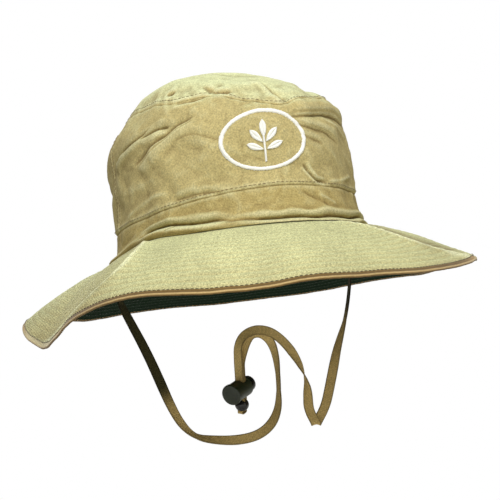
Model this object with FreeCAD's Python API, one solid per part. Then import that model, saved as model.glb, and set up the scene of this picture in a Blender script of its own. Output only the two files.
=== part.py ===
"""Boonie hat with a tape chin cord and a spring cord lock.

The hat's own frame: +Z up through the crown, the front faces -Y, +X is the wearer's left side of the
brim as seen from the front (the viewer's right). The origin is the centre of the head opening, in the
plane where the crown is sewn to the brim. All lengths are in millimetres.

The crown is an elliptical shell: one side profile is turned about Z and stretched along Y. Each layer
(outer cloth, lining, sweatband) lies at its own depth behind that profile. The brim is two half panels
of three layers that slope down from the head opening to an edge whose height changes round the hat.
The chin cord is one flat tape in two lengths, each from a sewn tab, over a shared arch, down through the
cord lock and the bead, to the fold where the two meet.
"""
import FreeCAD, Part
import math
import os

from FreeCAD import Vector

# ---------------------------------------------------------------- driving dimensions
OPENING_HALF_WIDTH = 87.0        # X semi-axis of the crown's outside at the brim
OPENING_HALF_LENGTH = 103.5      # Y semi-axis of the crown's outside at the brim
BRIM_WIDTH = 83.0                # measured along the slope of the brim
LAYER_GAP = 0.05                 # air between two sewn layers

# Side profile of the crown: (half width, height), from the brim seam to the middle of the tip.
CROWN_PROFILE = [
    (87.0, 0.0), (86.0, 8.0), (84.6, 16.0), (84.0, 23.0),
    (84.0, 34.0), (84.2, 46.0), (84.2, 58.0), (83.6, 68.0), (81.6, 77.0), (78.8, 83.5), (75.5, 88.0),
    (69.0, 95.5), (60.0, 103.6), (49.0, 110.8), (36.0, 116.2), (20.0, 119.8), (0.0, 121.0),
]
BRIM_SEAM, BAND_SEAM, SWEATBAND_TOP, TAPE_START, TAPE_END, TIP_SEAM, TIP_MIDDLE = 0, 3, 4, 5, 9, 10, 16
TAB_TOP = 2

# Layers as (depth of the outer face, depth of the inner face) behind the profile.
CLOTH = (0.0, 0.7)
LINING = (0.75, 1.15)
SEAM_TAPE = (1.2, 1.7)
ANCHOR_TAB = (1.25, 2.1)
SWEATBAND = (2.2, 3.4)
EMBROIDERY = (-0.8, 0.0)

SEAM_TAPE_WIDTH = 12.0
ANCHOR_WIDTH = 8.0
ANCHOR_Y = 12.0                  # the tabs sit just behind the side seams
STRIP_REACH = 20.0               # half the size across the crown's side of the box that cuts a strip
STRIP_HEIGHT = 300.0

# Height of the brim's edge at every 15 degrees, starting at the back and going past the -X side.
EDGE_HEIGHTS = [
    -17.0, -19.0, -23.5, -24.0, -28.0, -43.0, -54.5, -53.0, -44.5, -41.0, -46.0, -47.5,
    -46.5, -47.5, -46.5, -43.5, -37.5, -34.0, -30.0, -26.0, -22.0, -19.5, -19.5, -19.0,
]
# How much flatter the brim starts than it ends, at every 30 degrees from the back.
BRIM_HOLLOWS = [0.6, 0.75, 0.85, 0.83, 0.7, 0.6, 0.5, 0.5, 0.5, 0.5, 0.5, 0.55]
BRIM_INNER_STEP = 0.6            # the brim reaches this far under the band
BRIM_TOP = (0.0, 0.5)
BRIM_STIFFENER = (0.55, 1.35)
BRIM_UNDERSIDE = (1.4, 1.9)
BINDING_RADIUS = 1.5
BINDING_JOINT = 1.0              # degrees between the two ends of the binding
BINDING_STATIONS = 36            # sections round the hat that the binding is lofted through
LOFT_STEP = 10                   # degrees between the sections of a brim layer

# Embroidered badge: an oval ring round a leaf sprig.
BADGE_CENTRE = (-3.0, 56.0)
BADGE_HALF_WIDTH = 29.5
BADGE_HALF_HEIGHT = 21.0
BADGE_LINE = 3.2
LEAF_LENGTH = 11.5
LEAF_WIDTH = 4.6
TOP_LEAF_RISE = 1.5              # above the badge's centre
LEAF_STEP = 1.2                  # from the stalk to a side leaf's base
LEAF_PAIRS = [(-6.5, 22.0), (-1.5, 48.0)]   # (height from the centre, lean in degrees)
BADGE_CUT_FROM = -60.0           # the badge's outlines cut through the crown's front from this Y
BADGE_CUT_DEPTH = 80.0
BADGE_SKIN = (200.0, 140.0)      # start and turn, in degrees, of the front skin it is cut from

# Cord lock: local x along the barrel towards its button, local z up along the tape.
LOCK_CENTRE = Vector(-12.7, 2.0, -99.3)
LOCK_TURN = FreeCAD.Rotation(37.8, -19.15, 18.1)
BARREL_RADIUS = 7.0
BARREL_RIM_RADIUS = 7.5
BARREL_BACK = -13.4
BARREL_FRONT = 5.0
RIM_LENGTH = 2.2
BARREL_ROUNDING = 0.8
BUTTON_ROUNDING = 1.0
BORE_RADIUS = 5.0
BORE_BOTTOM = -10.0
SLOT_HALF_WIDTH = 3.9            # across the tape
BARREL_SLOT = (-2.6, 2.6)
PLUNGER_RADIUS = 4.7
PLUNGER_SLOT = (-2.5, 5.1)
PLUNGER_INNER_END = -7.0
BUTTON_RADIUS = 5.6
BUTTON = (7.8, 11.3)
SPRING_POCKET_RADIUS = 3.0
SPRING_POCKET_END = -3.6
SPRING_COIL_RADIUS = 2.4
SPRING_WIRE_RADIUS = 0.25
SPRING_TURNS = 5
BEAD_RADIUS = 4.9
BEAD_HOLE_RADIUS = 2.6
BEAD_DROP = -12.2                # along the tape, from the lock's centre

# Chin cord: the solid is a plain round cord that stands for the folded tape.
CORD_RADIUS = 0.9
TIGHT_BEND = 5.4                 # smaller bend radii than this are reported

# Route of the tape on the -X side, from its tab to the arch, then its last points in the lock's own axes.
LEFT_ROUTE = [
    (-84.7, 12.0, 0.0), (-84.7, 12.0, -8.0), (-87.4, 11.0, -17.0), (-89.6, 8.6, -28.0), (-86.6, 6.2, -38.5),
    (-83.0, 4.6, -48.5), (-78.6, 3.0, -60.5), (-73.6, 2.2, -75.0), (-69.2, 1.2, -90.0), (-64.4, 0.0, -106.5),
    (-58.2, -1.2, -120.5), (-49.4, -2.0, -130.0), (-37.0, -3.0, -133.6), (-22.0, -4.0, -136.2),
    (-6.6, -4.0, -134.8), (5.0, -4.0, -128.2), (11.8, -4.0, -117.2), (13.8, -4.4, -104.0),
    (14.8, -5.2, -91.4), (14.2, -7.4, -78.4), (10.6, -9.8, -68.2), (3.6, -12.2, -62.6),
    (-4.6, -13.4, -62.8), (-9.6, -12.6, -69.0),
]
RIGHT_ROUTE = [
    (84.7, 12.0, 0.0), (84.7, 12.0, -9.0), (83.7, 10.6, -20.0), (81.2, 8.4, -32.0), (77.4, 6.8, -45.4),
    (72.4, 5.0, -58.6), (66.6, 3.2, -70.0), (61.4, 2.0, -80.6), (57.2, 1.2, -91.4), (51.6, 0.0, -105.6),
    (46.0, -1.2, -119.0), (40.2, -2.0, -131.6), (33.8, -2.2, -131.2), (32.8, -2.0, -120.6),
    (34.6, -2.6, -109.6), (35.4, -3.6, -98.6), (32.6, -5.4, -87.4), (26.0, -8.2, -76.4),
    (17.6, -11.2, -66.8), (8.4, -14.2, -60.6), (-1.6, -15.6, -58.6), (-10.4, -14.8, -61.8),
    (-15.2, -12.4, -69.6),
]
# (side, height along the tape) of the points in and below the lock; side is +1 or -1 times these.
LOCK_ROUTE = [(1.3, 20.0), (1.3, -14.8), (2.2, -17.0), (2.4, -19.6), (0.0, -19.6)]

RADII = []


# ---------------------------------------------------------------- helpers
def save(name, shape):
    """Write one node, and say how many solids it holds."""
    if not shape.isValid():
        print(name, "IS NOT VALID")
    shape.exportStep("parts/" + name + ".step")
    box = shape.BoundBox
    print(f"{name}: {len(shape.Solids)} solid(s), {shape.Volume / 1000:.2f} cm3, "
          f"z {box.ZMin:.1f}..{box.ZMax:.1f}")


def stretch(shape):
    """Stretch a turned shape along Y, from the crown's width to its length."""
    matrix = FreeCAD.Matrix()
    matrix.A22 = OPENING_HALF_LENGTH / OPENING_HALF_WIDTH
    return shape.transformGeometry(matrix)


def at_depth(index, depth):
    """A point of the crown's side profile, moved inwards along the profile's normal."""
    before = CROWN_PROFILE[max(index - 1, 0)]
    after = CROWN_PROFILE[min(index + 1, len(CROWN_PROFILE) - 1)]
    run, rise = after[0] - before[0], after[1] - before[1]
    if index == BRIM_SEAM:
        run, rise = 0.0, 1.0
    if index == TIP_MIDDLE:
        run, rise = -1.0, 0.0
    length = math.hypot(run, rise)
    half_width, height = CROWN_PROFILE[index]
    return Vector(half_width - depth * rise / length, 0.0, height + depth * run / length)


def crown_layer(first, last, layer, start_angle=0.0, turn=360.0):
    """A layer of the crown between two profile points, turned about Z and stretched."""
    outside = [at_depth(i, layer[0]) for i in range(first, last + 1)]
    inside = [at_depth(i, layer[1]) for i in range(first, last + 1)]
    outer, inner = Part.BSplineCurve(), Part.BSplineCurve()
    outer.interpolate(outside)
    inner.interpolate(inside)
    edges = [
        outer.toShape(),
        Part.LineSegment(outside[-1], inside[-1]).toShape(),
        inner.toShape(),
        Part.LineSegment(inside[0], outside[0]).toShape(),
    ]
    face = Part.Face(Part.Wire(Part.__sortEdges__(edges)))
    face.rotate(Vector(0, 0, 0), Vector(0, 0, 1), start_angle)
    return stretch(face.revolve(Vector(0, 0, 0), Vector(0, 0, 1), turn))


def round_the_brim(stations, degrees):
    """A value that is smooth between evenly spaced stations; 0 is the front and -90 the -X side."""
    count = len(stations)
    place = (degrees + 180.0) / 360.0 * count
    step = math.floor(place)
    t = place - step
    p0, p1, p2, p3 = (stations[(step + k) % count] for k in (-1, 0, 1, 2))
    return 0.5 * (2 * p1 + (p2 - p0) * t + (2 * p0 - 5 * p1 + 4 * p2 - p3) * t ** 2
                  + (3 * p1 - p0 - 3 * p2 + p3) * t ** 3)


def brim_point(degrees, out, depth=0.0, beyond=0.0):
    """A point of the brim: out is 0 at the crown and 1 at the edge, beyond is a distance past the edge."""
    angle = math.radians(degrees)
    drop = round_the_brim(EDGE_HEIGHTS, degrees)
    hollow = round_the_brim(BRIM_HOLLOWS, degrees)
    reach = math.sqrt(BRIM_WIDTH ** 2 - drop ** 2) * out + beyond
    height = drop * (out - hollow * out * (1 - out)) - depth
    half_width = OPENING_HALF_WIDTH - BRIM_INNER_STEP + reach
    half_length = OPENING_HALF_LENGTH - BRIM_INNER_STEP + reach
    return Vector(half_width * math.sin(angle), -half_length * math.cos(angle), height)


def brim_layer(layer, first, last):
    """Half of one brim layer, lofted through evenly spaced sections."""
    sections = []
    for step in range(first, last + 1, LOFT_STEP):
        top = [brim_point(step, out / 4, layer[0]) for out in range(5)]
        under = [brim_point(step, out / 4, layer[1]) for out in range(5)]
        upper, lower = Part.BSplineCurve(), Part.BSplineCurve()
        upper.interpolate(top)
        lower.interpolate(under)
        sections.append(Part.Wire([
            upper.toShape(),
            Part.LineSegment(top[-1], under[-1]).toShape(),
            lower.toShape(),
            Part.LineSegment(under[0], top[0]).toShape(),
        ]))
    return Part.makeLoft(sections, True, False)


def route_edges(points):
    """Straight runs joined by tangent arcs that are as large as the runs allow."""
    edges, here = [], points[0]
    for before, corner, after in zip(points, points[1:], points[2:]):
        back, ahead = before - corner, after - corner
        shorter = min(back.Length, ahead.Length)
        back.normalize()
        ahead.normalize()
        half_turn = (math.pi - back.getAngle(ahead)) / 2
        cut = 0.45 * shorter
        RADII.append((cut / math.tan(half_turn), corner))
        start, end = corner + back * cut, corner + ahead * cut
        middle = back + ahead
        middle.normalize()
        rise = cut * (1 / math.cos(half_turn) - 1) / math.tan(half_turn)
        edges.append(Part.LineSegment(here, start).toShape())
        edges.append(Part.Arc(start, corner + middle * rise, end).toShape())
        here = end
    edges.append(Part.LineSegment(here, points[-1]).toShape())
    return edges


def cord(points, radius):
    """A round cord along a route, with its volume checked against its length."""
    path = Part.Wire(route_edges(points))
    circle = Part.Circle(points[0], points[1] - points[0], radius)
    solid = path.makePipeShell([Part.Wire(circle.toShape())], True, True)
    expected = math.pi * radius ** 2 * path.Length
    print(f"cord: length {path.Length:.1f}, volume {solid.Volume:.1f} of {expected:.1f}")
    return solid


def lock_point(side, height):
    """A point in the cord lock's own axes, in the hat's frame."""
    return LOCK_CENTRE + LOCK_TURN.multVec(Vector(side, 0, height))


def in_lock(shape):
    """Move a shape from the cord lock's own axes to its place."""
    shape.Placement = FreeCAD.Placement(LOCK_CENTRE, LOCK_TURN).multiply(shape.Placement)
    return shape


def along_x(radius, start, end):
    """A cylinder on the local x axis."""
    return Part.makeCylinder(radius, end - start, Vector(start, 0, 0), Vector(1, 0, 0))


def slot_box(span):
    """The slot that the tape passes through, right through a barrel of the lock's size."""
    tall = 4 * BARREL_RADIUS
    corner = Vector(span[0], -SLOT_HALF_WIDTH, -tall / 2)
    return Part.makeBox(span[1] - span[0], 2 * SLOT_HALF_WIDTH, tall, corner)


def round_edges(shape, radius, x):
    """Round the outer circular edge that lies at local x."""
    edges = [e for e in shape.Edges
             if hasattr(e.Curve, "Radius") and abs(e.CenterOfMass.x - x) < 0.01
             and e.Curve.Radius > BORE_RADIUS + 0.1]
    return shape.makeFillet(radius, edges)


def side_strip(side, middle, width):
    """A tall box round one side of the crown, of the given width about the given Y."""
    corner = Vector(side * OPENING_HALF_WIDTH - STRIP_REACH, middle - width / 2, -STRIP_HEIGHT / 2)
    return Part.makeBox(2 * STRIP_REACH, width, STRIP_HEIGHT, corner)


# ---------------------------------------------------------------- crown
def make_crown():
    """Outer cloth: the tip, two side panels and two band strips."""
    save("tip_panel", crown_layer(TIP_SEAM, TIP_MIDDLE, CLOTH))
    save("crown_front_panel", crown_layer(BAND_SEAM, TIP_SEAM, CLOTH, 180, 180))
    save("crown_back_panel", crown_layer(BAND_SEAM, TIP_SEAM, CLOTH, 0, 180))
    save("band_front", crown_layer(BRIM_SEAM, BAND_SEAM, CLOTH, 180, 180))
    save("band_back", crown_layer(BRIM_SEAM, BAND_SEAM, CLOTH, 0, 180))


def make_lining():
    """Inside the crown: lining, seam tapes and the sweatband."""
    save("tip_lining", crown_layer(TIP_SEAM, TIP_MIDDLE, LINING))
    save("crown_lining", crown_layer(BRIM_SEAM, TIP_SEAM, LINING))
    save("sweatband", crown_layer(BRIM_SEAM, SWEATBAND_TOP, SWEATBAND))
    for side, name in ((-1, "left"), (1, "right")):
        whole = crown_layer(TAPE_START, TAPE_END, SEAM_TAPE)
        keep = side_strip(side, 0.0, SEAM_TAPE_WIDTH)
        save("side_seam_tape_" + name, whole.common(keep).Solids[0])


def make_anchors():
    """Two sewn tabs that hold the ends of the chin tape, between the lining and the sweatband."""
    for side, name in ((-1, "left"), (1, "right")):
        whole = crown_layer(BRIM_SEAM, TAB_TOP, ANCHOR_TAB)
        keep = side_strip(side, ANCHOR_Y, ANCHOR_WIDTH)
        save("strap_anchor_" + name, whole.common(keep).Solids[0])


# ---------------------------------------------------------------- badge
def oval(half_width, half_height):
    """An oval prism through the crown's front, in the badge's place."""
    curve = Part.Ellipse(Vector(0, 0, 0), half_width, half_height)
    face = Part.Face(Part.Wire(curve.toShape()))
    face.rotate(Vector(0, 0, 0), Vector(1, 0, 0), 90)
    face.translate(Vector(BADGE_CENTRE[0], BADGE_CUT_FROM, BADGE_CENTRE[1]))
    return face.extrude(Vector(0, -BADGE_CUT_DEPTH, 0))


def leaf(x, z, degrees):
    """A pointed leaf prism whose stalk end is at x, z from the badge's centre."""
    tip, side = Vector(LEAF_LENGTH, 0, 0), LEAF_WIDTH / 2
    over = Part.Arc(Vector(0, 0, 0), Vector(LEAF_LENGTH / 2, side, 0), tip)
    under = Part.Arc(tip, Vector(LEAF_LENGTH / 2, -side, 0), Vector(0, 0, 0))
    face = Part.Face(Part.Wire([over.toShape(), under.toShape()]))
    face.rotate(Vector(0, 0, 0), Vector(0, 0, 1), degrees)
    face.rotate(Vector(0, 0, 0), Vector(1, 0, 0), 90)
    face.translate(Vector(BADGE_CENTRE[0] + x, BADGE_CUT_FROM, BADGE_CENTRE[1] + z))
    return face.extrude(Vector(0, -BADGE_CUT_DEPTH, 0))


def make_badge():
    """Raised embroidery on the front: an oval ring and a sprig of five leaves."""
    ring = oval(BADGE_HALF_WIDTH, BADGE_HALF_HEIGHT).cut(
        oval(BADGE_HALF_WIDTH - BADGE_LINE, BADGE_HALF_HEIGHT - BADGE_LINE))
    leaves = [leaf(0, TOP_LEAF_RISE, 90)]
    for z, lean in LEAF_PAIRS:
        leaves.append(leaf(LEAF_STEP, z, lean))
        leaves.append(leaf(-LEAF_STEP, z, 180 - lean))
    skin = crown_layer(BAND_SEAM, TIP_SEAM, EMBROIDERY, *BADGE_SKIN)
    pieces = [skin.common(prism).Solids[0] for prism in [ring] + leaves]
    save("embroidered_badge", Part.makeCompound(pieces))


# ---------------------------------------------------------------- brim
def make_brim():
    """Two half panels of three layers, and the binding round their edge."""
    for name, layer in (("brim_top", BRIM_TOP), ("brim_stiffener", BRIM_STIFFENER),
                        ("brim_underside", BRIM_UNDERSIDE)):
        save(name + "_front", brim_layer(layer, -90, 90))
        save(name + "_back", brim_layer(layer, 90, 270))
    middle = BRIM_UNDERSIDE[1] / 2
    sections = []
    for step in range(BINDING_STATIONS + 1):
        degrees = -90 + BINDING_JOINT / 2 + (360 - BINDING_JOINT) * step / BINDING_STATIONS
        centre = brim_point(degrees, 1.0, middle, BINDING_RADIUS + LAYER_GAP)
        ahead = brim_point(degrees + 1, 1.0, middle, BINDING_RADIUS + LAYER_GAP)
        sections.append(Part.Wire(Part.Circle(centre, ahead - centre, BINDING_RADIUS).toShape()))
    save("brim_edge_binding", Part.makeLoft(sections, True, False))


# ---------------------------------------------------------------- cord lock and bead
def make_cord_lock():
    """Barrel, spring and button plunger; the tape passes through both slots."""
    barrel = along_x(BARREL_RADIUS, BARREL_BACK, BARREL_FRONT)
    rim = along_x(BARREL_RIM_RADIUS, BARREL_BACK, BARREL_BACK + RIM_LENGTH)
    barrel = round_edges(barrel.fuse(rim).removeSplitter(), BARREL_ROUNDING, BARREL_BACK)
    barrel = barrel.cut(along_x(BORE_RADIUS, BORE_BOTTOM, BARREL_FRONT + 1))
    barrel = barrel.cut(slot_box(BARREL_SLOT))
    save("cord_lock_barrel", in_lock(barrel))

    button = along_x(BUTTON_RADIUS, BUTTON[0], BUTTON[1])
    button = round_edges(button, BUTTON_ROUNDING, BUTTON[1])
    plunger = along_x(PLUNGER_RADIUS, PLUNGER_INNER_END, BUTTON[0]).fuse(button).removeSplitter()
    plunger = plunger.cut(slot_box(PLUNGER_SLOT))
    plunger = plunger.cut(along_x(SPRING_POCKET_RADIUS, PLUNGER_INNER_END - 1, SPRING_POCKET_END))
    save("cord_lock_plunger", in_lock(plunger))

    inset = SPRING_WIRE_RADIUS + LAYER_GAP
    length = SPRING_POCKET_END - BORE_BOTTOM - 2 * inset
    helix = Part.makeHelix(length / SPRING_TURNS, length, SPRING_COIL_RADIUS)
    wire = Part.Circle(Vector(SPRING_COIL_RADIUS, 0, 0), Vector(0, 1, 0), SPRING_WIRE_RADIUS)
    spring = Part.Wire(helix.Edges).makePipeShell([Part.Wire(wire.toShape())], True, True)
    spring.rotate(Vector(0, 0, 0), Vector(0, 1, 0), 90)
    spring.translate(Vector(BORE_BOTTOM + inset, 0, 0))
    save("cord_lock_spring", in_lock(spring))

    bead = Part.makeSphere(BEAD_RADIUS, Vector(0, 0, BEAD_DROP))
    hole = Part.makeCylinder(BEAD_HOLE_RADIUS, 4 * BEAD_RADIUS, Vector(0, 0, BEAD_DROP - 2 * BEAD_RADIUS))
    save("cord_bead", in_lock(bead.cut(hole)))


# ---------------------------------------------------------------- chin cord
def make_chin_cord():
    """The two lengths of tape, which meet at the fold below the bead."""
    for name, route, side in (("left", LEFT_ROUTE, 1), ("right", RIGHT_ROUTE, -1)):
        points = [Vector(*p) for p in route]
        points += [lock_point(side * across, height) for across, height in LOCK_ROUTE]
        first = len(RADII)
        save("chin_tape_" + name, cord(points, CORD_RADIUS))
        for radius, corner in RADII[first:]:
            note = "" if radius > TIGHT_BEND else "  tight"
            print(f"  radius {radius:.1f} at {corner.x:.0f} {corner.y:.0f} {corner.z:.0f}{note}")


os.makedirs("parts", exist_ok=True)
make_crown()
make_lining()
make_anchors()
make_badge()
make_brim()
make_cord_lock()
make_chin_cord()
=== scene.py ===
"""Looks of the boonie hat: cloth panels, brim, sweatband, stitching, embroidery, tape and cord lock.

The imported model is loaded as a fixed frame. Shapes are worked out in millimetres, in the hat's own frame
(front is -Y, up is +Z), and turned to metres when a mesh is made. Angles round the hat are in degrees,
0 at the front and -90 on the -X side. A place up the crown is a profile index, as in the CAD source.
"""
import itertools
import math

import bpy
import numpy as np
from mathutils import Matrix, Vector


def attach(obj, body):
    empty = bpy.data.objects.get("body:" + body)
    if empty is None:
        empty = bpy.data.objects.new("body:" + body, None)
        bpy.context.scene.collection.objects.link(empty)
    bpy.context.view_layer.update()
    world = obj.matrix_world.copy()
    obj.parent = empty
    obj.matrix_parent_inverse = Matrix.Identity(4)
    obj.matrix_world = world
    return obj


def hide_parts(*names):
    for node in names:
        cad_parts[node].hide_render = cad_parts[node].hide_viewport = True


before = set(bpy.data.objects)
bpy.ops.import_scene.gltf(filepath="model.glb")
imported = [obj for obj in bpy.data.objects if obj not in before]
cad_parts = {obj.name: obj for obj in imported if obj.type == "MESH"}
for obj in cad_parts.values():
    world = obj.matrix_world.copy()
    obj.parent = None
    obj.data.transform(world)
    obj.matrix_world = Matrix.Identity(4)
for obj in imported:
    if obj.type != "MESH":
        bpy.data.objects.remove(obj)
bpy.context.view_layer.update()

MM = 0.001
LENGTH_RATIO = 103.5 / 87.0

# ------------------------------------------------------------------ camera
CAMERA_PLACE = (-354.42, -1238.06, -167.16)
CAMERA_RIGHT = (0.95633, -0.26148, -0.13065)
CAMERA_UP = (0.09142, -0.15698, 0.98336)
CAMERA_BACK = (-0.27764, -0.95236, -0.12622)


def make_camera():
    """The photograph's viewpoint: from a little below, with the hat leaning in the picture."""
    data = bpy.data.cameras.new("camera")
    data.sensor_width = 36.0
    data.lens = 132.43
    data.clip_start = 0.05
    data.clip_end = 20.0
    camera = bpy.data.objects.new("camera", data)
    axes = Matrix((CAMERA_RIGHT, CAMERA_UP, CAMERA_BACK)).transposed().to_4x4()
    camera.matrix_world = Matrix.Translation(Vector(CAMERA_PLACE) * MM) @ axes
    bpy.context.scene.collection.objects.link(camera)
    bpy.context.scene.camera = camera


make_camera()

# ------------------------------------------------------------------ chin tape routes, close to the CAD source's
LOCK_CENTRE = np.array((-12.7, 2.0, -99.3))
LOCK_ALONG = np.array((0.746430, 0.578991, 0.328042))     # the barrel's axis, towards its button
LOCK_ACROSS = np.array((-0.663106, 0.688590, 0.293485))
LOCK_UP = np.array((-0.055962, -0.436593, 0.897917))
LEFT_ROUTE = [
    (-84.7, 12.0, 0.0), (-84.7, 12.0, -8.0), (-87.4, 11.0, -17.0), (-89.6, 8.6, -28.0), (-86.6, 6.2, -38.5),
    (-83.0, 4.6, -48.5), (-78.6, 3.0, -60.5), (-73.6, 2.2, -75.0), (-69.2, 1.2, -90.0), (-64.4, 0.0, -106.5),
    (-58.6, -1.2, -120.3), (-50.0, -2.0, -129.4), (-37.4, -3.0, -132.8), (-22.0, -4.0, -135.0),
    (-6.8, -4.0, -133.6), (4.2, -4.0, -127.2), (10.6, -4.0, -116.8), (12.6, -4.4, -104.0),
    (13.4, -5.2, -91.4), (12.8, -7.4, -78.6), (9.6, -9.8, -68.8), (3.2, -12.2, -63.0), (-4.6, -13.4, -63.0),
    (-9.6, -12.6, -69.0),
]
RIGHT_ROUTE = [
    (84.7, 12.0, 0.0), (84.7, 12.0, -9.0), (83.0, 10.6, -20.0), (80.0, 8.4, -32.0), (76.2, 6.8, -45.4),
    (71.4, 5.0, -58.6), (65.8, 3.2, -70.0), (60.8, 2.0, -80.6), (56.8, 1.2, -91.4), (51.4, 0.0, -105.6),
    (46.0, -1.0, -119.0), (37.4, -0.6, -130.4), (36.8, -3.2, -130.4), (32.8, -2.6, -119.6),
    (33.8, -2.6, -109.6), (34.0, -3.6, -99.6), (30.6, -5.4, -88.4), (24.4, -8.2, -77.6), (16.8, -11.2, -68.6),
    (8.4, -14.2, -62.8), (-1.6, -15.6, -60.8), (-10.4, -14.8, -63.6), (-15.2, -12.4, -70.4),
]
# (offset along the barrel, height) of the points in and below the lock.
LOCK_ROUTE = [(1.3, 20.0), (1.3, 13.0), (1.3, -9.0), (1.3, -14.4), (2.6, -16.6), (2.6, -18.4), (0.0, -18.4)]

# ------------------------------------------------------------------ numbers shared with the CAD source
CROWN_PROFILE = [
    (87.0, 0.0), (86.0, 8.0), (84.6, 16.0), (84.0, 23.0), (84.0, 34.0), (84.2, 46.0), (84.2, 58.0),
    (83.6, 68.0), (81.6, 77.0), (78.8, 83.5), (75.5, 88.0), (69.0, 95.5), (60.0, 103.6), (49.0, 110.8),
    (36.0, 116.2), (20.0, 119.8), (0.0, 121.0),
]
BAND_SEAM, SWEATBAND_TOP, NEAR_TIP_MIDDLE = 3.0, 4.0, 15.97
CLOTH_THICKNESS = 0.7
LINING_DEPTH = (0.75, 1.15)
SEAM_TAPE_DEPTH = (1.2, 1.7)
TAB_DEPTH = (1.25, 2.1)
SWEATBAND_DEPTH = (2.2, 3.4)
BRIM_WIDTH = 83.0
EDGE_HEIGHTS = [
    -17.0, -19.0, -23.5, -24.0, -28.0, -43.0, -54.5, -53.0, -44.5, -41.0, -46.0, -47.5,
    -46.5, -47.5, -46.5, -43.5, -37.5, -34.0, -30.0, -26.0, -22.0, -19.5, -19.5, -19.0,
]
BRIM_HOLLOWS = [0.6, 0.75, 0.85, 0.83, 0.7, 0.6, 0.5, 0.5, 0.5, 0.5, 0.5, 0.55]
BRIM_INNER_STEP = 0.6
BRIM_TOP_DEPTH = (0.0, 0.5)
BRIM_STIFFENER_DEPTH = (0.55, 1.35)
BRIM_UNDER_DEPTH = (1.4, 1.9)
BRIM_MIDDLE = 0.95
# Average radii, for threads counted round the hat, and small gaps between neighbouring panels.
CROWN_RADIUS, EDGE_RADIUS = 95.0, 178.0
SEAM_GAP, CROWN_SIDE_GAP, BRIM_SIDE_GAP = 0.004, 0.02, 0.03


# ------------------------------------------------------------------ small maths
def unit(vectors):
    """Vectors made one long."""
    return vectors / np.maximum(np.linalg.norm(vectors, axis=-1, keepdims=True), 1e-9)


def step_between(x, low, high):
    """0 below low, 1 above high, smooth between."""
    t = np.clip((x - low) / (high - low), 0.0, 1.0)
    return t * t * (3 - 2 * t)


def bell(x):
    """1 at 0, falling to nothing on both sides."""
    return np.exp(-x ** 2)


def wrapped(degrees):
    """An angle between -180 and 180 degrees."""
    return (np.asarray(degrees, float) + 180) % 360 - 180


def matched(degrees, place):
    """Two arrays or numbers, made the same shape."""
    return np.broadcast_arrays(np.asarray(degrees, float), np.asarray(place, float))


def distances(line):
    """How far each point of a line is along it."""
    return np.concatenate([[0], np.cumsum(np.linalg.norm(np.diff(line, axis=0), axis=-1))])


def between(t, p0, p1, p2, p3):
    """A smooth value between p1 and p2, with the values on both sides of them."""
    return 0.5 * (2 * p1 + (p2 - p0) * t + (2 * p0 - 5 * p1 + 4 * p2 - p3) * t**2
                  + (3 * p1 - p0 - 3 * p2 + p3) * t**3)


def eased(t, start, end, start_slope, end_slope):
    """A smooth value from start to end with given slopes."""
    return ((2 * t**3 - 3 * t**2 + 1) * start + (t**3 - 2 * t**2 + t) * start_slope
            + (-2 * t**3 + 3 * t**2) * end + (t**3 - t**2) * end_slope)


def curve_through(pairs, x):
    """A smooth curve through (key, value) pairs, level beyond its ends."""
    keys, values = np.array(pairs, float).T
    slopes = np.gradient(values, keys)
    slopes[0] = slopes[-1] = 0.0
    x = np.clip(x, keys[0], keys[-1])
    i = np.clip(np.searchsorted(keys, x, side="right") - 1, 0, len(keys) - 2)
    gap = keys[i + 1] - keys[i]
    return eased((x - keys[i]) / gap, values[i], values[i + 1], gap * slopes[i], gap * slopes[i + 1])


def round_the_hat(pairs, degrees):
    """A smooth closed curve through (angle, value) pairs."""
    pairs = sorted(pairs)
    return curve_through([(a + turn, v) for turn in (-360, 0, 360) for a, v in pairs], wrapped(degrees))


def round_the_brim(stations, degrees):
    """A value that is smooth between evenly spaced stations, as in the CAD source."""
    stations = np.array(stations)
    count = len(stations)
    place = (np.asarray(degrees, float) + 180.0) / 360.0 * count
    first = np.floor(place).astype(int)
    return between(place - first, *(stations[(first + k) % count] for k in (-1, 0, 1, 2)))


random = np.random.default_rng(11)
NOISE_ORDER = random.permutation(256)
NOISE_SLOPES = unit(random.normal(size=(256, 3)))


def noise(points, size, seed=0, octaves=1):
    """Smooth seeded noise of about -1 to 1, with lumps of the given size in millimetres."""
    total, strength = 0.0, 1.0
    for octave in range(octaves):
        q = np.asarray(points, float) / size + 13.37 * seed + 5.1 * octave
        cell = np.floor(q).astype(int)
        f = q - cell
        u = f**3 * (f * (f * 6 - 15) + 10)
        for corner in itertools.product((0, 1), repeat=3):
            at = (cell + corner) & 255
            hashed = NOISE_ORDER[(NOISE_ORDER[(NOISE_ORDER[at[..., 0]] + at[..., 1]) & 255] + at[..., 2]) & 255]
            weight = np.prod(np.where(corner, u, 1 - u), axis=-1)
            total = total + strength * 1.7 * weight * np.sum(NOISE_SLOPES[hashed] * (f - corner), axis=-1)
        strength *= 0.5
        size = size * 0.5
    return total


# ------------------------------------------------------------------ the crown's plain surface
PROFILE_WIDTHS = np.array([p[0] for p in CROWN_PROFILE])
PROFILE_HEIGHTS = np.array([p[1] for p in CROWN_PROFILE])


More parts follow.
